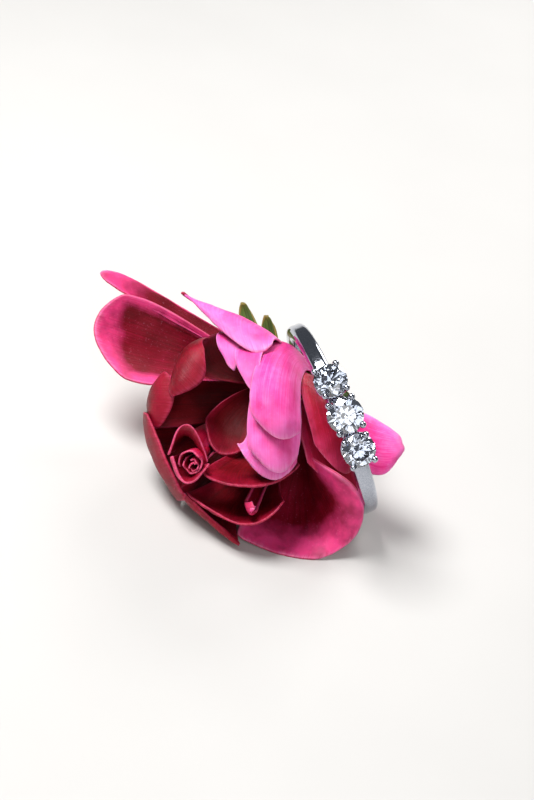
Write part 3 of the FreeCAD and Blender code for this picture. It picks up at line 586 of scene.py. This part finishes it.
def hip(share):
    """The receptacle: a swollen urn with a soft shoulder."""
    middle = 2 * share - 1
    radius = RECEPTACLE_RADIUS * math.sqrt(1 - abs(middle) ** 3) * (1 - 0.16 * middle * (1 - share))
    return RECEPTACLE_FOOT + (RECEPTACLE_TOP - RECEPTACLE_FOOT) * share, radius, 0.0


def stem(share):
    """The stem's stub: cut at its end, slightly bruised there, and wider under the receptacle."""
    level = min(max((share - 0.06) / 0.9, 0.0), 1.0)
    edge = min(1.0, share / 0.06, (1 - share) / 0.04)
    radius = (STEM_RADIUS + 0.25 * ease(level) + 0.12 * math.exp(-(level / 0.07) ** 2)) * edge
    top = RECEPTACLE_FOOT + 0.3
    return STEM_END + (top - STEM_END) * level, radius, max(0.0, 1 - level / 0.1)


def filament(share):
    """A stamen: a thin filament with a plump anther on its end."""
    if share < 0.5:
        height = RECEPTACLE_TOP - 0.3 + (FILAMENT_LENGTH + 0.1) * share * 2
        return height, FILAMENT_RADIUS, 0.0
    around = math.pi * (share - 0.5) * 2
    swell = math.sin(around)
    if around < 1.6:
        radius = FILAMENT_RADIUS + (ANTHER_RADIUS - FILAMENT_RADIUS) * swell
    else:
        radius = ANTHER_RADIUS * swell
    height = RECEPTACLE_TOP + FILAMENT_LENGTH - 0.2 + 0.28 * (1 - math.cos(around))
    return height, max(radius, 0.0), 1.0


def lathe(name, outline, skin, spots=((0.0, 0.0),), around=48, rows=48, ribs=0.0):
    """Turned pieces about AXIS. outline gives the height, the radius and how far the rim colour
    takes over, for a share of the way from one end to the other."""
    turned = bmesh.new()
    turned.loops.layers.uv.new("veins")
    rim = turned.verts.layers.float.new("rim")
    for across, up in spots:
        grid = bmesh.ops.create_grid(turned, x_segments=around, y_segments=rows, size=1.0,
                                     calc_uvs=True)
        for vertex in grid["verts"]:
            angle = math.pi * (vertex.co.x + 1)
            height, radius, dried = outline((vertex.co.y + 1) / 2)
            radius *= 1 + ribs * math.cos(5 * angle)
            lean = max(0.0, height - RECEPTACLE_TOP) * 0.25
            middle = RECEPTACLE + AXIS * height + (RIGHT * across + UPPER * up) * (1 + lean)
            out = RIGHT * math.cos(angle) + UPPER * math.sin(angle)
            vertex[rim] = dried
            vertex.co = BLOOM_PLACE @ (middle + out * radius)
    bmesh.ops.remove_doubles(turned, verts=turned.verts, dist=0.002 * MM)
    bmesh.ops.recalc_face_normals(turned, faces=turned.faces)
    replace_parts(finish_sheet(name, turned, (skin,)), name)


lathe("receptacle", hip, hip_skin, ribs=0.03)
lathe("pedicel", stem, stem_skin, ribs=0.02)
stamen_spots = []
for index in range(FILAMENTS):
    angle = 2 * math.pi * index / FILAMENTS
    stamen_spots.append((FILAMENT_CIRCLE * math.cos(angle), FILAMENT_CIRCLE * math.sin(angle)))
lathe("stamens", filament, stamen_skin, spots=stamen_spots, around=16, rows=32)


# ---------------------------------------------------------------- ring

RING_FINISHES = {
    "ring_band": white_gold, "upper_claw_setting": white_gold, "middle_claw_setting": white_gold,
    "lower_claw_setting": white_gold, "upper_diamond": diamond, "middle_diamond": diamond,
    "lower_diamond": diamond,
}
for name, finish in RING_FINISHES.items():
    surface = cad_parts[name].data
    surface.materials.clear()
    surface.materials.append(finish)


# ---------------------------------------------------------------- floor and light

floor_mesh = bmesh.new()
bmesh.ops.create_grid(floor_mesh, x_segments=1, y_segments=1, size=1.5)
floor_sheet = bpy.data.meshes.new("floor")
floor_mesh.to_mesh(floor_sheet)
floor_mesh.free()
floor = bpy.data.objects.new("floor", floor_sheet)
bpy.context.scene.collection.objects.link(floor)
# Pale backdrop paper: matt, with a barely uneven tone.
paper, tree = new_finish("pale_paper")
place = add(tree, "TexCoord")
tooth = add(tree, "TexNoise", {"Vector": place.outputs["Object"], "Scale": 1 / (20 * MM)})
tone = add(tree, "ValToRGB", {"Fac": tooth.outputs[0]})
tone.color_ramp.elements[0].color = colour("#C9C7C4")
tone.color_ramp.elements[1].color = colour("#CFCDCA")
sheet = add(tree, "BsdfPrincipled", {"Base Color": tone.outputs[0], "Roughness": 0.8})
close_finish(tree, sheet)
floor_sheet.materials.append(paper)

LAMPS = (
    # name, place in the bloom's frame in millimetres, size in millimetres, watts
    ("key", (-50, 160, 120), 100, 0.62),
    ("fill", (60, -20, 220), 200, 0.17),
    ("back", (120, 170, -60), 120, 0.25),
)
target = BLOOM_PLACE @ Vector((0, -1, 2))
for name, spot, size, watts in LAMPS:
    lamp = bpy.data.lights.new(name, "AREA")
    lamp.shape = "DISK"
    lamp.size = size * MM
    lamp.energy = watts
    stand = bpy.data.objects.new(name, lamp)
    bpy.context.scene.collection.objects.link(stand)
    stand.location = BLOOM_PLACE @ Vector(spot)
    stand.rotation_euler = (target - stand.location).to_track_quat("-Z", "Y").to_euler()

sky = bpy.data.worlds.new("studio")
sky.use_nodes = True
sky.node_tree.nodes["Background"].inputs["Color"].default_value = colour("#DDE2EA")
sky.node_tree.nodes["Background"].inputs["Strength"].default_value = 0.14
bpy.context.scene.world = sky
bpy.context.scene.view_settings.view_transform = "Standard"
